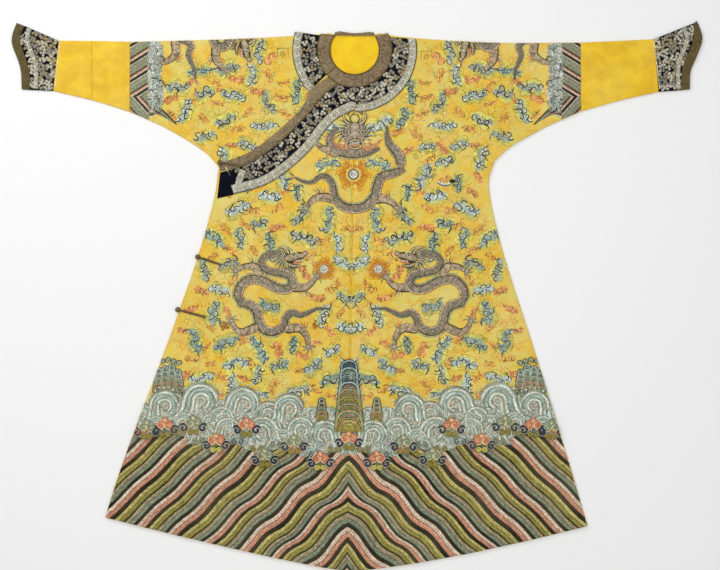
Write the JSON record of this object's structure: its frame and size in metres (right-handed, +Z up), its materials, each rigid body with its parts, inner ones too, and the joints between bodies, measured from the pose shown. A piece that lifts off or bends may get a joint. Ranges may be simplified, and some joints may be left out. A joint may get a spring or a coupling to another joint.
{
  "type": "dragon robe",
  "caption": "Long silk court robe laid flat, with a round neck, side-fastening overlap, wide-hemmed skirt and hoof-shaped cuffs.",
  "frame": {"origin": "centre of the laid-out robe on the surface it rests on", "axes": "+X towards the wearer's left sleeve, +Y towards the collar, +Z up from the surface through the front"},
  "size_m": [1.863, 1.485, 0.0163],
  "materials": {
    "figured_silk": "golden yellow silk satin, embroidered all over",
    "plain_silk": "plain bright yellow silk",
    "lining_silk": "bright yellow silk lining",
    "navy_satin": "navy satin, embroidered with silver-grey cloud scrolls",
    "brown_brocade": "brown and dull gold brocade binding",
    "brown_cord": "brown silk cord and knotted buttons"
  },
  "bodies": {
    "root": {"right_half": "figured_silk", "left_half": "figured_silk", "overlap": "figured_silk", "back_neck_lining": "lining_silk", "right_sleeve_extension": "plain_silk", "left_sleeve_extension": "plain_silk", "right_hoof_cuff": "navy_satin", "left_hoof_cuff": "navy_satin", "right_cuff_binding": "brown_brocade", "left_cuff_binding": "brown_brocade", "right_collar_facing": "navy_satin", "left_collar_facing": "navy_satin", "overlap_facing": "navy_satin", "underarm_facing": "navy_satin", "right_neck_binding": "brown_brocade", "left_neck_binding": "brown_brocade", "back_neck_binding": "brown_brocade", "overlap_binding": "brown_brocade", "underarm_loop": "brown_cord", "waist_loop": "brown_cord", "hip_loop": "brown_cord", "underarm_knob": "brown_cord", "waist_knob": "brown_cord", "hip_knob": "brown_cord"}
  },
  "joints": []
}
